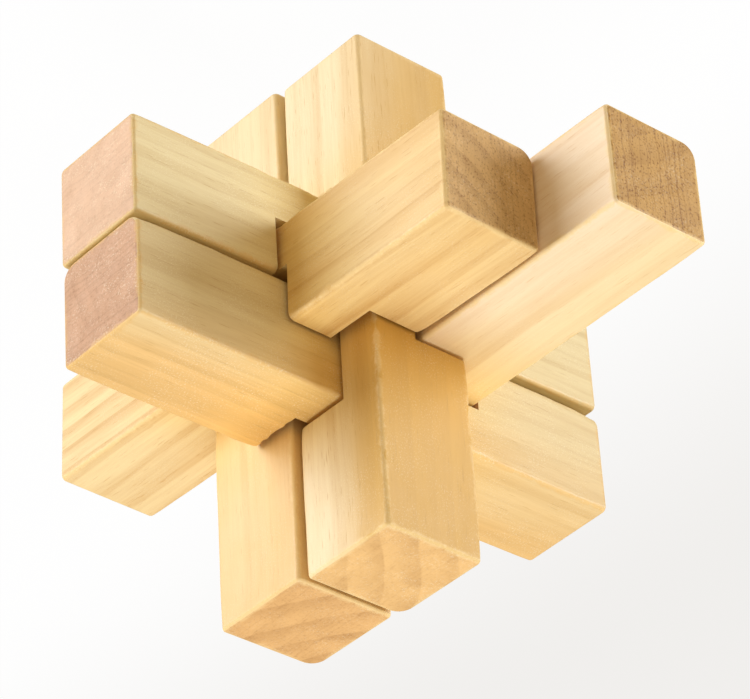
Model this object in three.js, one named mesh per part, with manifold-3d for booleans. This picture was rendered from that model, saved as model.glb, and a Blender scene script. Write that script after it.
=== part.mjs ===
// Six-stick wooden burr puzzle, with its key stick drawn part of the way out.
//
// Three pairs of square sticks cross at right angles and lock through notches at
// the middle. Millimetres, +Z up. The puzzle stands on the lower ends of its two
// upright sticks. X runs along the cross sticks, Y along the key and its partner,
// and the key comes out towards -Y.
import * as THREE from "three";
import { mergeVertices } from "three/addons/utils/BufferGeometryUtils.js";
import Module from "manifold-3d";

const wasm = await Module();
wasm.setup();

// ---- driving dimensions, mm ----
const stickWidth = 15;        // side of a stick's square section
const stickLength = 75;       // every stick has this length
const pairGap = 0.5;          // space between the two sticks of a pair
const notchClearance = 1.0;   // from a notch's wall to the stick that passes it
const keyPulledOut = 12.5;    // how far the key stands out of the finished block
const edgeRound = 0.5;        // radius of an ordinary long edge
const wornEdgeRound = 1.6;    // radius of a long edge that sanding has rounded off
const endBevel = 0.4;         // bevel around a stick's two ends

// ---- what follows from them ----
const halfWidth = stickWidth / 2;
const pairOffset = (stickWidth + pairGap) / 2;
const outerFace = stickWidth + pairGap / 2;

// The crossing is described on a grid of half widths, from -2 to 2 on each axis.
// Plane 0 lies between the sticks of a pair, planes 1 are the side faces of a stick
// that is centred on this axis, and planes 2 are the outer faces of a pair.
// firstFace is the near face of what passes a notch that starts at a plane and runs
// towards +, and lastFace(plane) is the far face of what passes one that ends there.
function firstFace(plane) {
  const faces = new Map([
    [-2, -outerFace],
    [-1, -halfWidth],
    [0, pairGap / 2],
    [1, halfWidth + notchClearance],
  ]);
  return faces.get(plane);
}

function lastFace(plane) {
  return -firstFace(-plane);
}

// A notch is a box on that grid, opened out by the clearance on every side. A snug
// notch opens out by less, as a share of the clearance before and after it.
function notchSpan([from, to], [before, after] = [1, 1]) {
  return [
    firstFace(from) - before * notchClearance,
    lastFace(to) + after * notchClearance,
  ];
}

const axisNumber = { x: 0, y: 1, z: 2 };
const unitVectors = [
  new THREE.Vector3(1, 0, 0),
  new THREE.Vector3(0, 1, 0),
  new THREE.Vector3(0, 0, 1),
];

// ---- the six sticks ----
// along: the axis that the stick runs on. pair: the axis on which it lies beside its
// twin, and the side of the middle that it takes. notches: boxes on the grid, each cut
// for the stick that is named beside it, with the axes on which it is snug. worn: the
// long edges that are rounded off, each by its side on the two axes of the section.
// slip and lean: how the loose stick lies in its clearance, as shares of the clearance
// and in degrees.
const sticks = [
  {
    name: "key_stick",
    along: "y", pair: "x", side: -1, drawnOut: -keyPulledOut,
    notches: [],
    worn: [{ x: -1, z: -1 }],
    slip: [-0.3, 0, 0.13], lean: [0, 0, 0],
    colour: 0xe9cd8c,
  },
  {
    name: "key_partner_stick",
    along: "y", pair: "x", side: 1, drawnOut: 0,
    notches: [
      // neck of the front upright
      { x: [0, 1], y: [-2, -1], z: [-1, 1], snug: { y: [0.6, 1] } },
      { x: [0, 1], y: [0, 2], z: [-1, 1] },     // back upright
      { x: [0, 2], y: [-1, 1], z: [0, 1] },     // upper cross stick
    ],
    worn: [{ x: -1, z: -1 }],
    slip: [-0.17, 0.17, -0.46], lean: [-0.92, 0.43, -0.42],
    colour: 0xe6c583,
  },
  {
    name: "lower_cross_stick",
    along: "x", pair: "z", side: -1, drawnOut: 0,
    notches: [
      // key and its partner
      { x: [-2, 2], y: [-1, 1], z: [-1, 0], snug: { x: [1, 0.3] } },
      { x: [-1, 1], y: [0, 1], z: [-2, 0] },    // back upright
    ],
    worn: [],
    slip: [0.18, -0.2, 0], lean: [0, -0.25, 0.6],
    colour: 0xe3cb90,
  },
  {
    name: "upper_cross_stick",
    along: "x", pair: "z", side: 1, drawnOut: 0,
    notches: [
      // key
      { x: [-2, 0], y: [-1, 1], z: [0, 1], snug: { z: [1, 0.5] } },
      // back upright
      { x: [-1, 1], y: [0, 1], z: [0, 2] },
    ],
    worn: [{ y: 1, z: -1 }, { y: -1, z: -1 }],
    slip: [0.14, -0.44, 0.1], lean: [0.48, 0.06, 0.38],
    colour: 0xdcb878,
  },
  {
    name: "back_upright_stick",
    along: "z", pair: "y", side: 1, drawnOut: 0,
    notches: [
      { x: [-1, 0], y: [0, 2], z: [-1, 1] },    // key
    ],
    worn: [{ x: -1, y: 1 }],
    slip: [0.45, 0.23, 0], lean: [0, 0, 0],
    colour: 0xebd093,
  },
  {
    name: "front_upright_stick",
    along: "z", pair: "y", side: -1, drawnOut: 0,
    notches: [
      // key
      { x: [-1, 0], y: [-2, 0], z: [-1, 1], snug: { z: [1, 0.45] } },
      // both cross sticks
      { x: [-1, 1], y: [-1, 0], z: [-2, 2], snug: { z: [1, 0.6] } },
    ],
    worn: [{ x: -1, y: 1 }],
    slip: [-0.32, 0.07, 0], lean: [0, 0, 0],
    colour: 0xe4c584,
  },
];

// ---- solids ----
function toManifold(geometry) {
  const bare = geometry.clone();
  bare.deleteAttribute("normal");
  bare.deleteAttribute("uv");
  const merged = mergeVertices(bare, 1e-5);
  const mesh = new wasm.Mesh({
    numProp: 3,
    vertProperties: new Float32Array(merged.attributes.position.array),
    triVerts: new Uint32Array(merged.index.array),
  });
  mesh.merge();
  return new wasm.Manifold(mesh);
}

function toGeometry(solid) {
  const mesh = solid.getMesh();
  const geometry = new THREE.BufferGeometry();
  geometry.setAttribute("position", new THREE.BufferAttribute(mesh.vertProperties, 3));
  geometry.setIndex(new THREE.BufferAttribute(mesh.triVerts, 1));
  geometry.computeVertexNormals();
  return geometry;
}

// The section is a square with four rounded corners, drawn inside the end bevel.
function sectionShape(cornerRadius) {
  const corners = [[1, -1], [1, 1], [-1, 1], [-1, -1]];
  const shape = new THREE.Shape();
  corners.forEach(([sideU, sideV], index) => {
    const radius = cornerRadius(sideU, sideV);
    const centreU = sideU * (halfWidth - radius);
    const centreV = sideV * (halfWidth - radius);
    const start = (index - 1) * Math.PI / 2;
    shape.absarc(centreU, centreV, radius, start, start + Math.PI / 2, false);
  });
  shape.closePath();
  return shape;
}

// A plain stick, centred on the origin and running along its own axis.
function stickBlank(stick) {
  const along = axisNumber[stick.along];
  const axisU = (along + 1) % 3;
  const axisV = (along + 2) % 3;
  const names = ["x", "y", "z"];
  const isWorn = (sideU, sideV) => stick.worn.some(
    (edge) => edge[names[axisU]] === sideU && edge[names[axisV]] === sideV);
  const radiusAt = (sideU, sideV) => (isWorn(sideU, sideV) ? wornEdgeRound : edgeRound);
  const geometry = new THREE.ExtrudeGeometry(sectionShape(radiusAt), {
    depth: stickLength - 2 * endBevel,
    curveSegments: 6,
    bevelEnabled: true,
    bevelSegments: 3,
    bevelThickness: endBevel,
    bevelSize: endBevel,
    bevelOffset: -endBevel,
  });
  geometry.translate(0, 0, endBevel - stickLength / 2);
  geometry.applyMatrix4(new THREE.Matrix4().makeBasis(
    unitVectors[axisU], unitVectors[axisV], unitVectors[along]));
  return geometry;
}

// The tool that cuts one notch, in the frame of the whole crossing.
function notchTool(notch) {
  const spans = ["x", "y", "z"].map((name) => notchSpan(notch[name], notch.snug?.[name]));
  const size = spans.map(([low, high]) => high - low);
  const middle = spans.map(([low, high]) => (low + high) / 2);
  const geometry = new THREE.BoxGeometry(...size);
  geometry.translate(...middle);
  return geometry;
}

// Where the middle of a fully pushed-in stick lies in the crossing.
function seat(stick) {
  return unitVectors[axisNumber[stick.pair]].clone().multiplyScalar(stick.side * pairOffset);
}

function buildStick(stick) {
  const centre = seat(stick);
  let solid = toManifold(stickBlank(stick));
  for (const notch of stick.notches) {
    const tool = notchTool(notch).translate(-centre.x, -centre.y, -centre.z);
    solid = solid.subtract(toManifold(tool));
  }
  const material = new THREE.MeshStandardMaterial({
    color: stick.colour,
    roughness: 0.5,
    metalness: 0,
  });
  const mesh = new THREE.Mesh(toGeometry(solid), material);
  mesh.name = stick.name;
  const slip = new THREE.Vector3(...stick.slip).multiplyScalar(notchClearance);
  mesh.position.copy(centre).add(slip);
  mesh.position.addScaledVector(unitVectors[axisNumber[stick.along]], stick.drawnOut);
  const [leanX, leanY, leanZ] = stick.lean.map(THREE.MathUtils.degToRad);
  mesh.rotation.set(leanX, leanY, leanZ);
  return mesh;
}

const crossing = new THREE.Group();
sticks.forEach((stick) => crossing.add(buildStick(stick)));

// The origin is under the middle of the whole puzzle, on the plane that it stands on.
const puzzle = new THREE.Group();
puzzle.add(crossing);
const box = new THREE.Box3().setFromObject(puzzle, true);
const middle = box.getCenter(new THREE.Vector3());
crossing.position.set(-middle.x, -middle.y, -box.min.z);

export default puzzle;
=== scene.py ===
# %% [markdown]
# # A wooden burr puzzle
# Six square sticks of pale lacquered wood cross in three pairs and lock through
# notches at the middle. One of them, the key, is drawn part of the way out. The
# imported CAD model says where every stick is, and this lesson gives each stick its
# fine shape and its wood. Lengths are metres, as in the frame, unless a name ends
# in MM or a table says millimetres.

# %% Load the frame
import math
import bmesh
import bpy
from mathutils import Matrix, Vector, noise


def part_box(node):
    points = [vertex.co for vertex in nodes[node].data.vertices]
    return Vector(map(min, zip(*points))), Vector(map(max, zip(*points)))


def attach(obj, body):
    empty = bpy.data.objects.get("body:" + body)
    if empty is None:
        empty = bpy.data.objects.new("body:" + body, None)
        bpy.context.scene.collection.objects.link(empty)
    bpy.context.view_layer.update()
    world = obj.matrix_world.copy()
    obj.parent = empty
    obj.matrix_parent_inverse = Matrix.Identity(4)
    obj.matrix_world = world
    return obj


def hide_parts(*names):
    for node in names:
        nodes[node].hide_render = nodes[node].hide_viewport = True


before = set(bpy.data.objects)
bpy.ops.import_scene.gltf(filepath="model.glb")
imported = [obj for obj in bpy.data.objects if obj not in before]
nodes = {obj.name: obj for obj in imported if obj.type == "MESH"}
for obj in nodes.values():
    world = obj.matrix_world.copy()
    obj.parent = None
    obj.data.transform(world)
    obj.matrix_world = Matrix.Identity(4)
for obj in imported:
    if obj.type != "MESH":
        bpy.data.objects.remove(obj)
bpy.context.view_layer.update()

MM = 0.001

# %% [markdown]
# ## Where each stick lies
# On the real puzzle the sticks sit loosely, so most of them lean by a fraction of a
# degree. Wood grain runs along a stick, so the wood needs the stick's own axes. They
# could be copied from the drawing, but it is safer to measure them on the CAD mesh:
# the big flat faces of a stick say exactly which way it points.

# %% Measure a stick
ROW_AXES = (Vector((1, 0, 0)), Vector((0, 1, 0)), Vector((0, 0, 1)))
FLAT = 0.9995               # a face is flat when it faces an axis this closely


def stick_axes(mesh, along):
    """The stick's two section axes and its long axis, as the columns of a rotation."""
    found = []
    for axis in ROW_AXES:
        total = Vector((0, 0, 0))
        for face in mesh.polygons:
            turn = face.normal.dot(axis)
            if abs(turn) > FLAT:
                total += face.normal * math.copysign(face.area, turn)
        found.append(total.normalized())
    across_u = found[(along + 1) % 3]
    forward = across_u.cross(found[(along + 2) % 3]).normalized()
    across_v = forward.cross(across_u)
    return Matrix((across_u, across_v, forward)).transposed()


def measure_stick(name):
    """Centre, rotation and size of a stick, measured on its CAD mesh."""
    low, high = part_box(name)
    size = high - low
    along = max(range(3), key=lambda axis: size[axis])
    turn = stick_axes(nodes[name].data, along)
    own = [turn.inverted() @ v.co for v in nodes[name].data.vertices]
    own_low = Vector([min(p[axis] for p in own) for axis in range(3)])
    own_high = Vector([max(p[axis] for p in own) for axis in range(3)])
    return {
        "centre": turn @ ((own_low + own_high) / 2),
        "turn": turn,
        "half": (own_high - own_low) / 2,
        "along": along,
    }


sticks = {name: measure_stick(name) for name in sorted(nodes)}
for name, stick in sticks.items():
    sides = [round(2 * half / MM, 2) for half in stick["half"]]
    lean = [round(math.degrees(a), 2) for a in stick["turn"].to_euler()]
    print(name, "along", "XYZ"[stick["along"]], "mm:", sides, "turn:", lean)

# %% [markdown]
# ## The camera
# The puzzle is seen from above, from between its key end and its +X side, through a
# long lens. The view is turned upside down, so the uprights hang downwards. The
# directions below are the camera's own axes. A long lens from half a metre keeps the
# sticks nearly parallel, as in a catalogue drawing.

# %% Camera
CAMERA_RIGHT = Vector((-0.7621, -0.6454, 0.0517)).normalized()
CAMERA_BACK = Vector((0.5518, -0.6055, 0.5735)).normalized()
CAMERA_FROM_UPRIGHTS = Vector((0.27598, -0.31006, 0.29168))
FOCAL_LENGTH_MM = 192.9
SENSOR_WIDTH_MM = 36
NEAREST_SEEN = 0.05

front_centre = sticks["front_upright_stick"]["centre"]
back_centre = sticks["back_upright_stick"]["centre"]
upright_middle = (front_centre + back_centre) / 2
camera_up = CAMERA_BACK.cross(CAMERA_RIGHT).normalized()
camera_right = camera_up.cross(CAMERA_BACK)
camera = bpy.data.objects.new("camera", bpy.data.cameras.new("camera"))
bpy.context.scene.collection.objects.link(camera)
camera.data.lens = FOCAL_LENGTH_MM
camera.data.sensor_width = SENSOR_WIDTH_MM
camera.data.clip_start = NEAREST_SEEN
pose = Matrix((camera_right, camera_up, CAMERA_BACK)).transposed().to_4x4()
pose.translation = upright_middle + CAMERA_FROM_UPRIGHTS
camera.matrix_world = pose
bpy.context.scene.camera = camera
print("camera at", pose.translation[:], "uprights at", upright_middle[:])

# %% [markdown]
# ## Small tools for shader trees
# Wood is drawn with many small sums, so a few short helpers keep the recipes readable.
# Each helper adds a node or two, and takes either numbers or other nodes' outputs.

# %% Node helpers
def feed(tree, socket, value):
    """Put a number, a colour or another node's output into a socket."""
    if isinstance(value, bpy.types.NodeSocket):
        tree.links.new(value, socket)
    elif value is not None:
        socket.default_value = value


def calculate(tree, operation, a, b=None, clamp=False):
    node = tree.nodes.new("ShaderNodeMath")
    node.operation = operation
    node.use_clamp = clamp
    feed(tree, node.inputs[0], a)
    feed(tree, node.inputs[1], b)
    return node.outputs[0]


def plus(tree, a, b, clamp=False):
    return calculate(tree, "ADD", a, b, clamp)


def minus(tree, a, b):
    return calculate(tree, "SUBTRACT", a, b)


def times(tree, a, b):
    return calculate(tree, "MULTIPLY", a, b)


def vectors(tree, operation, a, b=None):
    node = tree.nodes.new("ShaderNodeVectorMath")
    node.operation = operation
    feed(tree, node.inputs[0], a)
    feed(tree, node.inputs[1], b)
    return node.outputs["Value"] if operation in ("DOT_PRODUCT", "LENGTH") else node.outputs[0]


def cloud(tree, position, scale=1.0, detail=2.0, roughness=0.5, distortion=0.0):
    """Soft noise around 0.5."""
    node = tree.nodes.new("ShaderNodeTexNoise")
    feed(tree, node.inputs["Vector"], position)
    feed(tree, node.inputs["Scale"], scale)
    feed(tree, node.inputs["Detail"], detail)
    feed(tree, node.inputs["Roughness"], roughness)
    feed(tree, node.inputs["Distortion"], distortion)
    return node.outputs["Fac"]


def grain(tree, position, cells, detail=2.0, roughness=0.5):
    """Noise with its own number of cells per metre across u, across v and along."""
    return cloud(tree, vectors(tree, "MULTIPLY", position, cells), 1.0, detail, roughness)


def smooth_step(tree, value, start, end, low=0.0, high=1.0):
    node = tree.nodes.new("ShaderNodeMapRange")
    node.interpolation_type = "SMOOTHSTEP"
    for socket, number in zip(node.inputs, (value, start, end, low, high)):
        feed(tree, socket, number)
    return node.outputs["Result"]


def tint(tree, share, first, second, blend="MIX"):
    node = tree.nodes.new("ShaderNodeMix")
    node.data_type = "RGBA"
    node.blend_type = blend
    feed(tree, node.inputs["Factor"], share)
    feed(tree, node.inputs["A"], first)
    feed(tree, node.inputs["B"], second)
    return node.outputs["Result"]


def node_group(name, inputs, outputs):
    """A new shader group with named sockets. Inputs: name, kind, default value."""
    tree = bpy.data.node_groups.new(name, "ShaderNodeTree")
    for label, kind, value in inputs:
        socket = tree.interface.new_socket(label, in_out="INPUT", socket_type="NodeSocket" + kind)
        if value is not None:
            socket.default_value = value
    for label, kind in outputs:
        tree.interface.new_socket(label, in_out="OUTPUT", socket_type="NodeSocket" + kind)
    entry = tree.nodes.new("NodeGroupInput")
    leave = tree.nodes.new("NodeGroupOutput")
    return tree, entry.outputs, leave.inputs


def srgb(red, green, blue):
    """An everyday 0-255 colour as the linear colour that a shader wants."""
    def linear(part):
        part = part / 255
        return part / 12.92 if part <= 0.04045 else ((part + 0.055) / 1.055) ** 2.4
    return (linear(red), linear(green), linear(blue), 1.0)


print("example colour:", [round(c, 3) for c in srgb(231, 203, 156)])

# %% [markdown]
# ## The solid wood
# A stick is sawn out of a trunk, so its rings, fibres and pores run right through it:
# lines along its sides, arcs and dots on its ends. A flat pattern wrapped around it
# could never match at the edges. So the wood is a solid pattern in the stick's own
# space. Rings are circles around a pith line that lies outside the stick. Fibres and
# pores are noise squeezed thin across the stick and drawn long along it.

# %% Solid wood group
# cells per metre of each noise: across u, across v, along the stick
DRIFT_CELLS = (70, 70, 16)
WARM_CELLS = (110, 110, 20)
RING_CELLS = (160, 160, 30)
BROAD_CELLS = (420, 420, 22)
FINE_CELLS = (2300, 2300, 90)
PORE_CELLS = (5200, 5200, 330)
ELSEWHERE = (7.3, 2.1, 5.7)         # a step to noise that looks unrelated
DRIFT = 0.0026                      # how far the rings wander sideways
YEARLY_CHANGE = (0.37, 1.6)         # how often the ring width changes, and how much
RING_RISE, RING_STOP = 0.25, 0.93   # where in a year the wood starts to darken, and stops
BROAD_SHARE, FINE_SHARE = 0.6, 0.4  # how the two kinds of streak are mixed
WARM_PATCHES = 0.9                  # how uneven the border of the warm side is
PORE_DEPTH = 1.4                    # a pore's depth against a fibre's height
# painted shade near the crossing: a darker, more orange tint where the sticks shade each other
CROSSING_SHADE_ENDS = (0.006, 0.026)         # full amber nearer the crossing, none further away
CROSSING_SHADE_TINT = (1.0, 0.91, 0.62, 1)


def build_solid_wood():
    tree, given, result = node_group("solid_wood", [
        ("Position", "Vector", None),
        ("Pith", "Vector", (0.02, 0.03, 0.0)),
        ("Ring Spacing", "Float", 0.003),
        ("Ring Contrast", "Float", 0.4),
        ("Streak Contrast", "Float", 0.4),
        ("Pore Contrast", "Float", 0.4),
        ("Light Wood", "Color", (0.8, 0.6, 0.35, 1)),
        ("Dark Wood", "Color", (0.6, 0.4, 0.2, 1)),
        ("Warm Wood", "Color", (0.75, 0.5, 0.25, 1)),
        ("Warm Side", "Vector", (0.0, 0.0, 0.0)),
        ("Crossing", "Vector", (0.0, 0.0, 0.0)),
    ], [("Color", "Color"), ("Fibre Height", "Float"), ("Ring Mask", "Float")])
    here = given["Position"]

    # the trunk never grew quite straight, so the pattern wanders a little
    slow = vectors(tree, "MULTIPLY", here, DRIFT_CELLS)
    drift_u = minus(tree, cloud(tree, slow), 0.5)
    drift_v = minus(tree, cloud(tree, vectors(tree, "ADD", slow, ELSEWHERE)), 0.5)
    joined = tree.nodes.new("ShaderNodeCombineXYZ")
    feed(tree, joined.inputs[0], times(tree, drift_u, DRIFT))
    feed(tree, joined.inputs[1], times(tree, drift_v, DRIFT))
    bent = vectors(tree, "ADD", here, joined.outputs[0])

    # growth rings: pale early wood that darkens, then stops sharply
    from_pith = vectors(tree, "SUBTRACT", bent, given["Pith"])
    radius = vectors(tree, "LENGTH", vectors(tree, "MULTIPLY", from_pith, (1, 1, 0)))
    turns = calculate(tree, "DIVIDE", radius, given["Ring Spacing"])
    uneven = cloud(tree, times(tree, turns, YEARLY_CHANGE[0]), 1.0, 0.0)
    turns = plus(tree, turns, times(tree, uneven, YEARLY_CHANGE[1]))
    year = calculate(tree, "FRACT", turns)
    rise = smooth_step(tree, year, RING_RISE, RING_STOP)
    stop = smooth_step(tree, year, RING_STOP, 1.0, 1.0, 0.0)
    strength = smooth_step(tree, grain(tree, bent, RING_CELLS), 0.3, 0.7, 0.35, 1.0)
    ring = times(tree, times(tree, rise, stop), strength)

    # fibres: broad soft streaks and fine ones; pores: short thin dark lines along them
    broad_streak = smooth_step(tree, grain(tree, bent, BROAD_CELLS, 3.0, 0.55), 0.35, 0.72)
    fine_streak = smooth_step(tree, grain(tree, bent, FINE_CELLS, 3.0, 0.62), 0.32, 0.72)
    pore_line = smooth_step(tree, grain(tree, bent, PORE_CELLS, 1.0), 0.64, 0.76)
    broad_part = times(tree, broad_streak, BROAD_SHARE)
    streaks = plus(tree, broad_part, times(tree, fine_streak, FINE_SHARE))
    share = times(tree, ring, given["Ring Contrast"])
    share = plus(tree, share, times(tree, streaks, given["Streak Contrast"]))
    share = plus(tree, share, times(tree, pore_line, given["Pore Contrast"]), clamp=True)

    # one side of each stick is tinted: partly the wood's own heartwood tone, partly painted light and
    # shade, paler on a lit face and darker and warmer on a shaded one
    side = vectors(tree, "DOT_PRODUCT", bent, given["Warm Side"])
    patch = times(tree, minus(tree, grain(tree, bent, WARM_CELLS), 0.5), WARM_PATCHES)
    heartwood_and_light = smooth_step(tree, plus(tree, side, patch), -0.35, 0.75)
    base = tint(tree, heartwood_and_light, given["Light Wood"], given["Warm Wood"])
    wood = tint(tree, share, base, given["Dark Wood"])

    # where the sticks cross, painted shade: the wood is tinted darker and more orange, standing in
    # for the shade and warm bounced light between the sticks
    from_crossing = vectors(tree, "SUBTRACT", here, given["Crossing"])
    distance = vectors(tree, "LENGTH", vectors(tree, "MULTIPLY", from_crossing, (0, 0, 1)))
    crossing_shade = smooth_step(tree, distance, *CROSSING_SHADE_ENDS, 1.0, 0.0)
    crossing_shaded_wood = tint(tree, 1.0, wood, CROSSING_SHADE_TINT, "MULTIPLY")
    feed(tree, result["Color"], tint(tree, crossing_shade, wood, crossing_shaded_wood))
    height = minus(tree, fine_streak, times(tree, pore_line, PORE_DEPTH))
    feed(tree, result["Fibre Height"], height)
    feed(tree, result["Ring Mask"], ring)
    return tree


solid_wood = build_solid_wood()
print("solid wood nodes:", len(solid_wood.nodes))

# %% [markdown]
# ## End grain
# The ends of a stick, and the notch walls that cut its fibres, drink in the lacquer.
# They are darker and duller than the sides, full of dots, with traces of the saw. The
# dots could be painted, but noise in the stick's own space stays sharp at any distance.
# So the mesh only stores which faces are end grain, and this group does the rest.

# %% End grain group
DOT_CELLS = (3100, 3100, 500)
BLOTCH_CELLS = (330, 330, 120)
PIT_REACH = 0.0005                  # pits are only this near to a stick's end
SAW_CELLS = 1500.0                  # saw lines per metre
SAW_WANDER = 0.0012
BLOTCH_SHARE = 0.18
DEEP_TINT = (0.42, 0.30, 0.18, 1)


def build_end_grain():
    tree, given, result = node_group("end_grain", [
        ("Position", "Vector", None),
        ("Color", "Color", (0.8, 0.6, 0.35, 1)),
        ("End Tint", "Color", (0.8, 0.6, 0.35, 1)),
        ("End Share", "Float", 0.0),
        ("Ring Mask", "Float", 0.0),
        ("Ring Contrast", "Float", 0.5),
        ("Pore Contrast", "Float", 0.5),
        ("Saw Lines", "Float", 0.3),
        ("Saw Direction", "Vector", (1, 0, 0)),
        ("Half Length", "Float", 0.0375),
    ], [("Color", "Color"), ("Pit Height", "Float")])
    here = given["Position"]
    parts = tree.nodes.new("ShaderNodeSeparateXYZ")
    feed(tree, parts.inputs[0], here)
    to_end = minus(tree, given["Half Length"], calculate(tree, "ABSOLUTE", parts.outputs[2]))
    on_end = smooth_step(tree, to_end, 0.0, PIT_REACH, 1.0, 0.0)
    pits = smooth_step(tree, grain(tree, here, DOT_CELLS, 2.0, 0.6), 0.52, 0.70)
    blotch = smooth_step(tree, grain(tree, here, BLOTCH_CELLS, 3.0, 0.6), 0.3, 0.7)
    across = vectors(tree, "DOT_PRODUCT", here, given["Saw Direction"])
    across = plus(tree, across, times(tree, cloud(tree, here, 260.0, 2.0), SAW_WANDER))
    lines = cloud(tree, times(tree, across, SAW_CELLS), 1.0, 1.0)
    saw = smooth_step(tree, lines, 0.45, 0.75)
    dark = times(tree, pits, given["Pore Contrast"])
    dark = plus(tree, dark, times(tree, given["Ring Mask"], given["Ring Contrast"]))
    dark = plus(tree, dark, times(tree, saw, given["Saw Lines"]))
    dark = plus(tree, dark, times(tree, blotch, BLOTCH_SHARE), clamp=True)
    deep = tint(tree, 1.0, given["End Tint"], DEEP_TINT, "MULTIPLY")
    cut = tint(tree, dark, given["End Tint"], deep)
    feed(tree, result["Color"], tint(tree, given["End Share"], given["Color"], cut))
    feed(tree, result["Pit Height"], times(tree, times(tree, pits, on_end), -1.0))
    return tree


end_grain = build_end_grain()
print("end grain nodes:", len(end_grain.nodes))

# %% [markdown]
# ## Worn edges
# Sanding and handling leave a thin paler line along every outer edge, with small nicks.
# How far a point lies from the nearest edge follows from the stick's size alone, so the
# line needs no painting, and its width can wander a little.

# %% Worn edge group
LINE_FADE = (0.35, 1.25)            # where the pale line fades, as shares of its width
NICK_FADE = (0.0003, 0.0016)        # where nicks fade, as distances from the edge


def build_worn_edges():
    tree, given, result = node_group("worn_edges", [
        ("Position", "Vector", None),
        ("Half Size", "Vector", (0.0075, 0.0075, 0.0375)),
        ("Width", "Float", 0.0005),
        ("Strength", "Float", 0.7),
        ("Chipping", "Float", 0.3),
        ("Color", "Color", (0.8, 0.6, 0.35, 1)),
        ("Worn Color", "Color", (0.9, 0.75, 0.5, 1)),
    ], [("Color", "Color")])
    here = given["Position"]
    to_face = vectors(tree, "SUBTRACT", given["Half Size"], vectors(tree, "ABSOLUTE", here))
    parts = tree.nodes.new("ShaderNodeSeparateXYZ")
    feed(tree, parts.inputs[0], to_face)
    u, v, w = parts.outputs
    nearer = calculate(tree, "MINIMUM", u, v)
    further = calculate(tree, "MAXIMUM", u, v)
    to_edge = calculate(tree, "MAXIMUM", nearer, calculate(tree, "MINIMUM", further, w))
    wander = smooth_step(tree, cloud(tree, here, 420.0, 3.0, 0.6), 0.3, 0.7, 0.45, 1.5)
    in_widths = calculate(tree, "DIVIDE", to_edge, times(tree, given["Width"], wander))
    line = minus(tree, 1.0, smooth_step(tree, in_widths, *LINE_FADE))
    nicks = smooth_step(tree, cloud(tree, here, 1500.0, 2.0, 0.6), 0.55, 0.62)
    near_edge = minus(tree, 1.0, smooth_step(tree, to_edge, *NICK_FADE))
    chips = times(tree, times(tree, nicks, near_edge), given["Chipping"])
    mask = plus(tree, times(tree, line, given["Strength"]), chips, clamp=True)
    feed(tree, result["Color"], tint(tree, mask, given["Color"], given["Worn Color"]))
    return tree


worn_edges = build_worn_edges()
print("worn edge nodes:", len(worn_edges.nodes))

# %% [markdown]
# ## Thin lacquer
# The lacquer is thin: its shine varies, small pale flecks of the wood show through it, and the
# fibres under it show as fine relief. The flecks' paleness is partly their own colour and partly a
# painted glint. This group makes those small changes of colour, roughness and height. The
# shader's own coat layer later adds a faint second shine.

# %% Lacquer group
SPECK_CELLS = (5200, 5200, 4200)
# pale flecks: partly the wood's own flecks, partly a painted glint of their shine
GLINTING_FLECK_COLOUR = (1.0, 0.93, 0.72, 1)
UNEVEN_SHINE = (-0.07, 0.09)        # what patches take from and add to the roughness
END_DULLNESS = 0.15
FIBRE_PART, RIPPLE_PART, SPECK_PART = 0.35, 1.2, 0.8    # what the height is made of


def build_lacquer():
    tree, given, result = node_group("thin_lacquer", [
        ("Position", "Vector", None),
        ("Color", "Color", (0.8, 0.6, 0.35, 1)),
        ("Fibre Height", "Float", 0.0),
        ("Pit Height", "Float", 0.0),
        ("End Share", "Float", 0.0),
        ("Specks", "Float", 0.3),
        ("Roughness", "Float", 0.42),
    ], [("Color", "Color"), ("Roughness", "Float"), ("Height", "Float")])
    here = given["Position"]
    # flecks of the wood painted pale: partly their own colour, partly a painted glint
    sparkle = smooth_step(tree, grain(tree, here, SPECK_CELLS, 1.0), 0.54, 0.72)
    zone = smooth_step(tree, cloud(tree, here, 190.0, 2.0), 0.30, 0.66)
    glinting_fleck = times(tree, times(tree, sparkle, zone), given["Specks"])
    feed(tree, result["Color"], tint(tree, glinting_fleck, given["Color"], GLINTING_FLECK_COLOUR))
    patches = cloud(tree, here, 300.0, 3.0, 0.6)
    uneven = smooth_step(tree, patches, 0.3, 0.7, *UNEVEN_SHINE)
    rough = plus(tree, given["Roughness"], uneven)
    rough = plus(tree, rough, times(tree, given["End Share"], END_DULLNESS), clamp=True)
    feed(tree, result["Roughness"], rough)
    ripple = cloud(tree, here, 520.0, 1.0)
    height = plus(tree, times(tree, given["Fibre Height"], FIBRE_PART), given["Pit Height"])
    height = plus(tree, height, times(tree, ripple, RIPPLE_PART))
    height = plus(tree, height, times(tree, glinting_fleck, SPECK_PART))
    feed(tree, result["Height"], height)
    return tree


lacquer = build_lacquer()
print("lacquer nodes:", len(lacquer.nodes))
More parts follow.
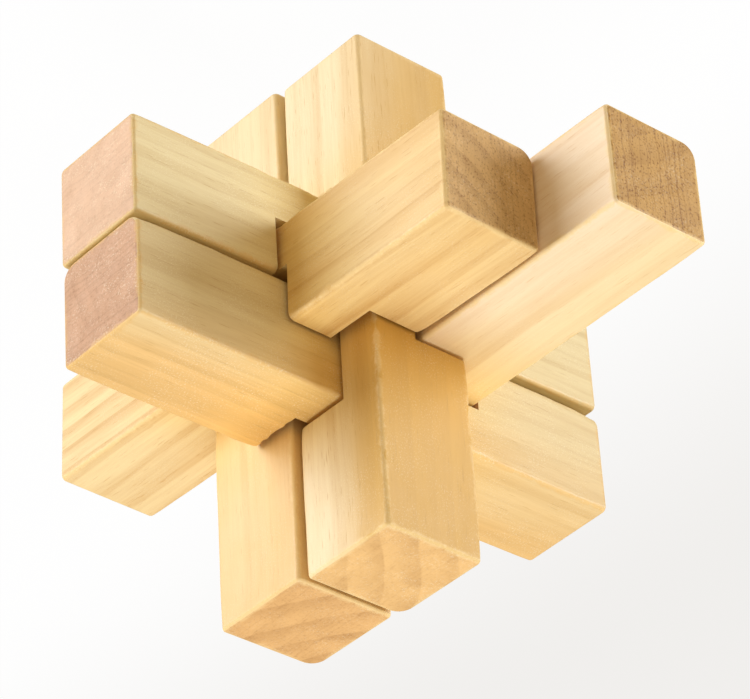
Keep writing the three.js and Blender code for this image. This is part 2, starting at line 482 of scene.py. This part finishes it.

# %% [markdown]
# ## Six different pieces of wood
# The sticks were cut from different boards. Each one has its own colours, its own pith
# position and its own strengths. One side of each stick is tinted, partly with the wood's own
# heartwood tone and partly with painted light and shade. Pith, that tinted side and saw
# direction are in the stick's own axes: across u, across v, along. Ring spacing and pith are
# millimetres.

# %% Wood table
# The warm colour and the side that it lies on make a side tint: partly the wood's own heartwood tone,
# partly painted light and shade on lit and shaded faces.
woods = {
    "key_stick": {
        "slot": "key_wood", "body": "key",
        "light": srgb(251, 230, 184), "dark": srgb(218, 176, 112), "warm": srgb(252, 234, 210),
        "heartwood_and_light_side": (0, 60, 0), "pith": (-40, 26), "spacing": 4.2,
        "rings": 0.25, "streaks": 0.28, "pores": 0.30,
        "end": srgb(208, 166, 98), "end_rings": 0.2, "end_pores": 0.7,
        "saw": 0.45, "saw_direction": (0, 1, 0), "specks": 0.22,
        "worn": srgb(246, 217, 150), "chipping": 0.2,
    },
    "key_partner_stick": {
        "slot": "partner_wood", "body": "locked_sticks",
        "light": srgb(248, 226, 174), "dark": srgb(208, 160, 92), "warm": srgb(240, 202, 132),
        "heartwood_and_light_side": (0, 0, -8), "pith": (34, 22), "spacing": 3.3,
        "rings": 0.42, "streaks": 0.40, "pores": 0.35,
        "end": srgb(220, 182, 122), "end_rings": 0.25, "end_pores": 0.5,
        "saw": 0.2, "saw_direction": (0, 1, 0), "specks": 0.22,
        "worn": srgb(248, 220, 160), "chipping": 0.25,
    },
    "lower_cross_stick": {
        "slot": "lower_cross_wood", "body": "locked_sticks",
        "light": srgb(241, 228, 184), "dark": srgb(204, 176, 118), "warm": srgb(237, 219, 170),
        "heartwood_and_light_side": (0, 20, 0), "pith": (12, -60), "spacing": 2.6,
        "rings": 0.30, "streaks": 0.42, "pores": 0.40,
        "end": srgb(231, 195, 165), "end_rings": 0.06, "end_pores": 0.12,
        "saw": 0.10, "saw_direction": (0, 1, 0), "specks": 0.42,
        "worn": srgb(232, 196, 128), "chipping": 0.2,
    },
    "upper_cross_stick": {
        "slot": "upper_cross_wood", "body": "locked_sticks",
        "light": srgb(238, 221, 174), "dark": srgb(196, 158, 94), "warm": srgb(240, 200, 134),
        "heartwood_and_light_side": (40, 60, 0), "pith": (-46, -18), "spacing": 3.0,
        "rings": 0.20, "streaks": 0.36, "pores": 0.30,
        "end": srgb(211, 169, 138), "end_rings": 0.12, "end_pores": 0.22,
        "saw": 0.20, "saw_direction": (0, 1, 0), "specks": 0.42,
        "worn": srgb(234, 194, 124), "chipping": 0.2,
    },
    "back_upright_stick": {
        "slot": "back_upright_wood", "body": "locked_sticks",
        "light": srgb(249, 231, 188), "dark": srgb(214, 172, 110), "warm": srgb(243, 208, 146),
        "heartwood_and_light_side": (0, 0, 14), "pith": (-46, 30), "spacing": 4.6,
        "rings": 0.22, "streaks": 0.28, "pores": 0.30,
        "end": srgb(232, 186, 124), "end_rings": 0.34, "end_pores": 0.18,
        "saw": 0.12, "saw_direction": (1, 0, 0), "specks": 0.2,
        "worn": srgb(246, 216, 156), "chipping": 0.2,
    },
    "front_upright_stick": {
        "slot": "front_upright_wood", "body": "locked_sticks",
        "light": srgb(250, 233, 194), "dark": srgb(208, 168, 98), "warm": srgb(224, 184, 106),
        "heartwood_and_light_side": (-30, -100, 8), "pith": (40, 34), "spacing": 5.0,
        "rings": 0.26, "streaks": 0.34, "pores": 0.50,
        "end": srgb(240, 198, 134), "end_rings": 0.3, "end_pores": 0.12,
        "saw": 0.08, "saw_direction": (1, 0, 0), "specks": 0.3,
        "worn": srgb(246, 220, 164), "chipping": 0.2,
    },
}
print("woods:", {name: wood["slot"] for name, wood in woods.items()})

# %% [markdown]
# ## One material from four groups
# A material joins the groups in the order in which a stick got them: solid wood, cut
# ends, worn edges, lacquer. A Mapping node turns a place in the row into the stick's
# own axes, so the grain of a leaning stick leans with it.

# %% Build one wood material
ROUGHNESS = 0.42
FIBRE_DEPTH_MM = 0.03               # how deep the pores and fibres show in the lacquer
BUMP_STRENGTH = 0.5
EDGE_WIDTH_MM = 0.55
EDGE_STRENGTH = 0.55
SHINE = 0.32
COAT_WEIGHT, COAT_ROUGHNESS = 0.05, 0.28


def use_group(tree, group, **values):
    """Place a group in a material. Keyword names use _ for the spaces of the sockets."""
    node = tree.nodes.new("ShaderNodeGroup")
    node.node_tree = group
    for label, value in values.items():
        feed(tree, node.inputs[label.replace("_", " ")], value)
    return node.outputs


def crossing_place(name):
    """How far along the stick the middle of the crossing lies."""
    return (sticks[name]["turn"].inverted() @ (upright_middle - sticks[name]["centre"])).z


def wood_material(name):
    wood, stick = woods[name], sticks[name]
    material = bpy.data.materials.new(wood["slot"])
    material.use_nodes = True
    tree = material.node_tree
    shader = tree.nodes["Principled BSDF"]
    where = tree.nodes.new("ShaderNodeTexCoord")
    own = tree.nodes.new("ShaderNodeMapping")
    own.vector_type = "TEXTURE"
    own.inputs["Location"].default_value = stick["centre"]
    own.inputs["Rotation"].default_value = stick["turn"].to_euler()
    feed(tree, own.inputs["Vector"], where.outputs["Object"])
    here = own.outputs["Vector"]
    end = tree.nodes.new("ShaderNodeAttribute")
    end.attribute_name = "end_grain"

    side = use_group(
        tree, solid_wood, Position=here,
        Pith=(wood["pith"][0] * MM, wood["pith"][1] * MM, 0.0),
        Ring_Spacing=wood["spacing"] * MM, Ring_Contrast=wood["rings"],
        Streak_Contrast=wood["streaks"], Pore_Contrast=wood["pores"],
        Light_Wood=wood["light"], Dark_Wood=wood["dark"], Warm_Wood=wood["warm"],
        Warm_Side=wood["heartwood_and_light_side"], Crossing=(0.0, 0.0, crossing_place(name)))
    cut = use_group(
        tree, end_grain, Position=here, Color=side["Color"], End_Tint=wood["end"],
        End_Share=end.outputs["Fac"], Ring_Mask=side["Ring Mask"],
        Ring_Contrast=wood["end_rings"], Pore_Contrast=wood["end_pores"],
        Saw_Lines=wood["saw"], Saw_Direction=wood["saw_direction"], Half_Length=stick["half"].z)
    worn = use_group(
        tree, worn_edges, Position=here, Half_Size=stick["half"],
        Width=EDGE_WIDTH_MM * MM, Strength=EDGE_STRENGTH, Chipping=wood["chipping"],
        Color=cut["Color"], Worn_Color=wood["worn"])
    coat = use_group(
        tree, lacquer, Position=here, Color=worn["Color"],
        Fibre_Height=side["Fibre Height"], Pit_Height=cut["Pit Height"],
        End_Share=end.outputs["Fac"], Specks=wood["specks"], Roughness=ROUGHNESS)

    bump = tree.nodes.new("ShaderNodeBump")
    bump.inputs["Strength"].default_value = BUMP_STRENGTH
    bump.inputs["Distance"].default_value = FIBRE_DEPTH_MM * MM
    feed(tree, bump.inputs["Height"], coat["Height"])
    feed(tree, shader.inputs["Base Color"], coat["Color"])
    feed(tree, shader.inputs["Roughness"], coat["Roughness"])
    feed(tree, shader.inputs["Normal"], bump.outputs["Normal"])
    shader.inputs["Specular IOR Level"].default_value = SHINE
    shader.inputs["Coat Weight"].default_value = COAT_WEIGHT
    shader.inputs["Coat Roughness"].default_value = COAT_ROUGHNESS
    return material


materials = {name: wood_material(name) for name in woods}
print("materials:", [m.name for m in materials.values()])

# %% [markdown]
# ## From the CAD solid to a sanded stick
# The CAD stick has the right notches and edges, but every notch edge is as sharp as a
# knife and every rounding is perfectly even. On the real stick a sander has run along
# the long edges, a little harder near the ends and beside the notches, and has broken
# the notch edges. A copy of the CAD mesh is a good start: its doubles and slivers are
# merged, its flat faces are made whole, the notch edges are bevelled, and the stick is
# sliced across so that the rounding can vary along it. The flat faces stay flat.

# %% Copy, clean and bevel
DOUBLE_MM = 0.002                   # points nearer than this are one point
SLIVER_MM = 0.004                   # faces thinner than this are removed
SAME_PLANE = math.radians(0.2)
NOTCH_BEVEL_MM = 0.3
BEVEL_SEGMENTS = 3
SHARP = math.radians(60)


def clean_copy(name):
    """The CAD stick in its own axes, with whole flat faces."""
    stick = sticks[name]
    bm = bmesh.new()
    bm.from_mesh(nodes[name].data)
    bmesh.ops.remove_doubles(bm, verts=bm.verts, dist=DOUBLE_MM * MM)
    bm.transform(stick["turn"].inverted().to_4x4() @ Matrix.Translation(-stick["centre"]))
    bmesh.ops.dissolve_degenerate(bm, dist=SLIVER_MM * MM, edges=bm.edges)
    bmesh.ops.dissolve_limit(bm, angle_limit=SAME_PLANE, verts=bm.verts, edges=bm.edges)
    return bm


def break_notch_edges(bm):
    sharp = [e for e in bm.edges if e.is_manifold and e.calc_face_angle_signed() > SHARP]
    bmesh.ops.bevel(bm, geom=sharp, offset=NOTCH_BEVEL_MM * MM, segments=BEVEL_SEGMENTS,
                    profile=0.5, affect="EDGES", material=-1, clamp_overlap=True)
    return len(sharp)


trial = clean_copy("key_partner_stick")
whole_faces = len(trial.faces)
notch_edges = break_notch_edges(trial)
print("whole faces:", whole_faces, "notch edges:", notch_edges, "faces now:", len(trial.faces))
trial.free()

# %% [markdown]
# ## Sanding by hand
# A bevel rounds an edge evenly from end to end. A hand with sandpaper doesn't. Here the
# points of each rounding move away from their edge or towards it by a share that
# changes slowly along the stick, from smooth noise that is the same in every run, and
# that grows at the ends and beside the notches.

# %% Sand the long edges unevenly
SLICE_MM = 1.6
END_SLICES_MM = (0.45, 0.9, 1.5)            # extra slices, from the ends inwards
WALL_SLICES_MM = (-1.1, -0.6, 0.6, 1.1)     # extra slices, on both sides of a notch wall
BAND_MM = 1.7                       # every rounding lies within this of its edge
ON_FACE_MM = 0.002                  # a point this near to a face lies on it
ROUNDING_SLACK_MM = 0.04            # a rounding's points may lie this far past its measure
PLAIN_ROUNDING_MM = 0.5             # taken where a rounding can't be measured
WANDER, FINE_WANDER = 0.16, 0.07    # uneven sanding, as shares of the rounding
END_WEAR, END_REACH_MM = 0.55, 1.6      # extra rounding at a stick's ends
NOTCH_WEAR, NOTCH_REACH_MM = 0.9, 1.0   # extra rounding beside a notch
LEAST_SHARE = 0.8
WIDE_MM, MOST_SHARE_OF_WIDE = 1.0, 1.35     # wide roundings can grow only a little


def notch_walls(bm, half_length):
    """Where along the stick its notch walls are."""
    found = set()
    for face in bm.faces:
        place = face.calc_center_median().z
        if abs(face.normal.z) > 0.99 and abs(place) < half_length - 1 * MM:
            found.add(round(place / MM, 1))
    return sorted(found)


def slice_across(bm, places_mm):
    for place in places_mm:
        bmesh.ops.bisect_plane(bm, geom=bm.verts[:] + bm.edges[:] + bm.faces[:], dist=0.001 * MM,
                               plane_co=(0, 0, place * MM), plane_no=(0, 0, 1))


def wear_at(place, half_length_mm, walls_mm, seed, side_u, side_v):
    """How many times its drawn size the rounding is at this place along the stick."""
    wander = noise.noise(Vector((place * 0.21, seed * 5.3 + side_u, side_v * 3.1)))
    fine = noise.noise(Vector((place * 0.9, seed * 2.7 + side_u, side_v * 7.7)))
    end = math.exp(-(half_length_mm - abs(place)) / END_REACH_MM)
    near = [math.exp(-abs(place - wall) / NOTCH_REACH_MM) for wall in walls_mm]
    notch = max(near + [0.0])
    share = 1 + WANDER * wander + FINE_WANDER * fine + END_WEAR * end + NOTCH_WEAR * notch
    return max(LEAST_SHARE, share)


def sand_long_edges(bm, half, seed, walls_mm):
    """Draw each rounding in or out of its edge, more at ends and beside notches."""
    moved = 0
    for side_u in (-1, 1):
        for side_v in (-1, 1):
            band = []
            for v in bm.verts:
                du, dv = half.x - side_u * v.co.x, half.y - side_v * v.co.y
                if max(du, dv) < BAND_MM * MM:
                    band.append((v, du, dv))
            on_u = [dv for v, du, dv in band if abs(du) < ON_FACE_MM * MM]
            rounding = min(on_u) if on_u else PLAIN_ROUNDING_MM * MM
            for v, du, dv in band:
                if max(du, dv) > rounding + ROUNDING_SLACK_MM * MM:
                    continue
                share = wear_at(v.co.z / MM, half.z / MM, walls_mm, seed, side_u, side_v)
                if rounding > WIDE_MM * MM:
                    share = min(share, MOST_SHARE_OF_WIDE)
                v.co.x = side_u * (half.x - du * share)
                v.co.y = side_v * (half.y - dv * share)
                moved += 1
    return moved


# %% [markdown]
# ## Which faces are end grain
# A face that cuts across the fibres shows end grain. Its direction says so, and a number
# stored on the face tells the material. Only the rounded faces are shaded smoothly, as
# smooth shading would bend the light on the flat ones.

# %% Mark the end grain and the flat faces
CUTS_FIBRES = 0.75                  # a face this square to the fibres shows end grain


def mark_faces(bm):
    """Store 1 on the faces that cut the fibres, and keep flat faces flat."""
    end = bm.faces.layers.float.new("end_grain")
    for face in bm.faces:
        face[end] = 1.0 if abs(face.normal.z) > CUTS_FIBRES else 0.0
        face.smooth = max(abs(part) for part in face.normal) < FLAT

# %% [markdown]
# ## Chips and a crack
# The notch shoulder of the upper cross stick is torn where the back upright passes it,
# and its far end has a short drying crack. Both are real missing wood, so they are cut
# with small rough tools and a Boolean, not painted. A tool is an icosphere pushed
# about by noise, or for the crack a thin wedge. Places are millimetres in the row.

# %% Damage tools
top_of_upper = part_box("upper_cross_stick")[1].z / MM
damage = {
    "upper_cross_stick": [
        {"kind": "chip", "at": (8.45, 8.9, top_of_upper + 0.1), "size": (0.22, 1.4, 0.4), "seed": 3},
        {"kind": "chip", "at": (8.45, 6.4, top_of_upper + 0.1), "size": (0.18, 0.7, 0.35), "seed": 8},
        {"kind": "chip", "at": (8.45, 11.2, top_of_upper + 0.1), "size": (0.2, 0.6, 0.35), "seed": 5},
        {"kind": "crack", "from": (-31.5, 1.8), "to": (-38.5, 2.5), "top": top_of_upper},
    ],
}


def chip_tool(at, size, seed):
    """A lumpy ball: broad lumps first, then small ones."""
    bm = bmesh.new()
    bmesh.ops.create_icosphere(bm, subdivisions=4, radius=1.0)
    for v in bm.verts:
        lumps = 0.28 * noise.noise(v.co * 1.7 + Vector((seed, 0, 0)))
        crumbs = 0.14 * noise.noise(v.co * 5 + Vector((0, seed, 0)))
        v.co = v.co * (1 + lumps + crumbs)
    bmesh.ops.scale(bm, vec=Vector(size) * MM, verts=bm.verts)
    bmesh.ops.translate(bm, vec=Vector(at) * MM, verts=bm.verts)
    return bm


def crack_tool(start, end, top):
    """A wedge that is wide at the surface and at the stick's end."""
    bm = bmesh.new()
    bmesh.ops.create_cube(bm, size=1.0)
    cuts = [e for e in bm.edges if abs((e.verts[0].co - e.verts[1].co).x) > 0.5]
    bmesh.ops.subdivide_edges(bm, edges=cuts, cuts=14, use_grid_fill=True)
    first, last = Vector((start[0], start[1])), Vector((end[0], end[1]))
    for v in bm.verts:
        share = v.co.x + 0.5
        middle = first.lerp(last, share)
        wander = 0.22 * noise.noise(Vector((share * 6, 0.3, 1.7)))
        width = 0.03 + 0.16 * share
        height = top + 0.3
        if v.co.z < 0:
            width = width * 0.2
            height = top - 0.35 - 0.9 * share
        side = math.copysign(width, v.co.y)
        v.co = Vector((middle.x, middle.y + wander + side, height)) * MM
    bmesh.ops.recalc_face_normals(bm, faces=bm.faces)
    return bm


def mesh_object(name, bm):
    mesh = bpy.data.meshes.new(name)
    bm.to_mesh(mesh)
    bm.free()
    piece = bpy.data.objects.new(name, mesh)
    bpy.context.scene.collection.objects.link(piece)
    return piece


def cut_away(piece, tools):
    """Cut the tools out of the piece, and drop the tools."""
    for number, tool in enumerate(tools):
        cutter = mesh_object(f"{piece.name}_tool_{number}", tool)
        boolean = piece.modifiers.new("damage", "BOOLEAN")
        boolean.operation = "DIFFERENCE"
        boolean.solver = "EXACT"
        boolean.object = cutter
        bpy.context.view_layer.update()
        now = piece.evaluated_get(bpy.context.evaluated_depsgraph_get())
        cut = bpy.data.meshes.new_from_object(now)
        piece.modifiers.remove(boolean)
        piece.data = cut
        bpy.data.objects.remove(cutter)


# %% [markdown]
# ## The six sticks
# Every stick takes the same steps: copy, bevel, slice, sand, mark, back to its place in
# the row, and last the damage. It gets its material slot, is hung on the body that carries
# it, so that it can move with its joint, and the CAD stick that it stands for is hidden.

# %% Make the six sticks
def make_stick(name, seed):
    stick, wood = sticks[name], woods[name]
    bm = clean_copy(name)
    walls = notch_walls(bm, stick["half"].z)
    break_notch_edges(bm)
    half_mm = stick["half"].z / MM
    places = [-half_mm + SLICE_MM * (i + 0.5) for i in range(int(2 * half_mm / SLICE_MM))]
    for distance in END_SLICES_MM:
        places += [distance - half_mm, half_mm - distance]
    for wall in walls:
        places += [wall + offset for offset in WALL_SLICES_MM]
    slice_across(bm, sorted(places))
    moved = sand_long_edges(bm, stick["half"], seed, walls)
    mark_faces(bm)
    bm.transform(Matrix.Translation(stick["centre"]) @ stick["turn"].to_4x4())
    piece = mesh_object(name.replace("_stick", "_wood"), bm)
    piece.data.materials.append(materials[name])
    tools = []
    for spot in damage.get(name, []):
        if spot["kind"] == "chip":
            tools.append(chip_tool(spot["at"], spot["size"], spot["seed"]))
        else:
            tools.append(crack_tool(spot["from"], spot["to"], spot["top"]))
    cut_away(piece, tools)
    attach(piece, wood["body"])
    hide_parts(name)
    print(piece.name, "faces:", len(piece.data.polygons), "sanded:", moved, "walls mm:", walls)
    return piece


pieces = [make_stick(name, seed) for seed, name in enumerate(sorted(woods))]
print("sticks made:", len(pieces))

# %% [markdown]
# ## Floor, room and lamps
# The puzzle is shown on a plain pale table. Only the camera sees the table's own light,
# a little dimmer on one side, so it neither lights the wood from below nor shows in the
# lacquer. A dim warm room fills the shadows. Three soft lamps shine from the left, the
# right and the top, so each direction of faces has its own brightness.

# %% Floor
FLOOR_RADIUS = 3.0
TABLE_COLOUR = (0.02, 0.02, 0.02, 1)
TABLE_GLOW = (0.855, 0.975)         # the table's own light on its dim and bright sides
DIM_SIDE = (1.0, 0.985, 0.965, 1)
BRIGHT_SIDE = (1, 1, 1, 1)
GLOW_ENDS = (-0.125, -0.035)        # where along X the light changes


def make_floor():
    bm = bmesh.new()
    bmesh.ops.create_circle(bm, cap_ends=True, segments=96, radius=FLOOR_RADIUS)
    floor = mesh_object("table", bm)
    material = bpy.data.materials.new("pale_table")
    material.use_nodes = True
    tree = material.node_tree
    shader = tree.nodes["Principled BSDF"]
    shader.inputs["Base Color"].default_value = TABLE_COLOUR
    shader.inputs["Roughness"].default_value = 0.9
    shader.inputs["Specular IOR Level"].default_value = 0.0
    where = tree.nodes.new("ShaderNodeTexCoord")
    parts = tree.nodes.new("ShaderNodeSeparateXYZ")
    feed(tree, parts.inputs[0], where.outputs["Object"])
    along_x = parts.outputs[0]
    bright = smooth_step(tree, along_x, *GLOW_ENDS)
    feed(tree, shader.inputs["Emission Color"], tint(tree, bright, DIM_SIDE, BRIGHT_SIDE))
    glow = smooth_step(tree, along_x, *GLOW_ENDS, *TABLE_GLOW)
    seen = tree.nodes.new("ShaderNodeLightPath").outputs["Is Camera Ray"]
    feed(tree, shader.inputs["Emission Strength"], times(tree, seen, glow))
    floor.data.materials.append(material)
    floor.visible_shadow = False
    floor.visible_diffuse = False
    floor.visible_glossy = False
    return floor


floor = make_floor()

# %% Lamps and room
COOL_WHITE = (0.95, 1.0, 1.08)
ROOM_GLOW = (0.48, 0.375, 0.235, 1)         # light that has bounced off warm walls
ROOM_SEEN = (0.95, 0.95, 0.95, 1)


def soft_lamp(name, direction, distance, side, power):
    lamp = bpy.data.lights.new(name, "AREA")
    lamp.shape = "RECTANGLE"
    lamp.size, lamp.size_y = side, side
    lamp.energy = power
    lamp.color = COOL_WHITE
    holder = bpy.data.objects.new(name, lamp)
    bpy.context.scene.collection.objects.link(holder)
    aim = Vector(direction).normalized()
    holder.location = upright_middle + aim * distance
    holder.rotation_euler = aim.to_track_quat("Z", "Y").to_euler()
    return holder


soft_lamp("left_lamp", (0.86, 0.40, -0.32), distance=0.8, side=0.5, power=5.6)
soft_lamp("right_lamp", (-0.60, -0.75, -0.20), distance=0.8, side=0.4, power=4.7)
soft_lamp("top_lamp", (0.0, 0.05, 1.0), distance=0.9, side=0.5, power=5.9)

world = bpy.data.worlds.new("warm_room")
world.use_nodes = True
room = world.node_tree
direct = room.nodes.new("ShaderNodeLightPath").outputs["Is Camera Ray"]
room_colour = tint(room, direct, ROOM_GLOW, ROOM_SEEN)
feed(room, room.nodes["Background"].inputs["Color"], room_colour)
bpy.context.scene.world = world
bpy.context.scene.view_settings.view_transform = "Standard"
print("lamps and room ready")
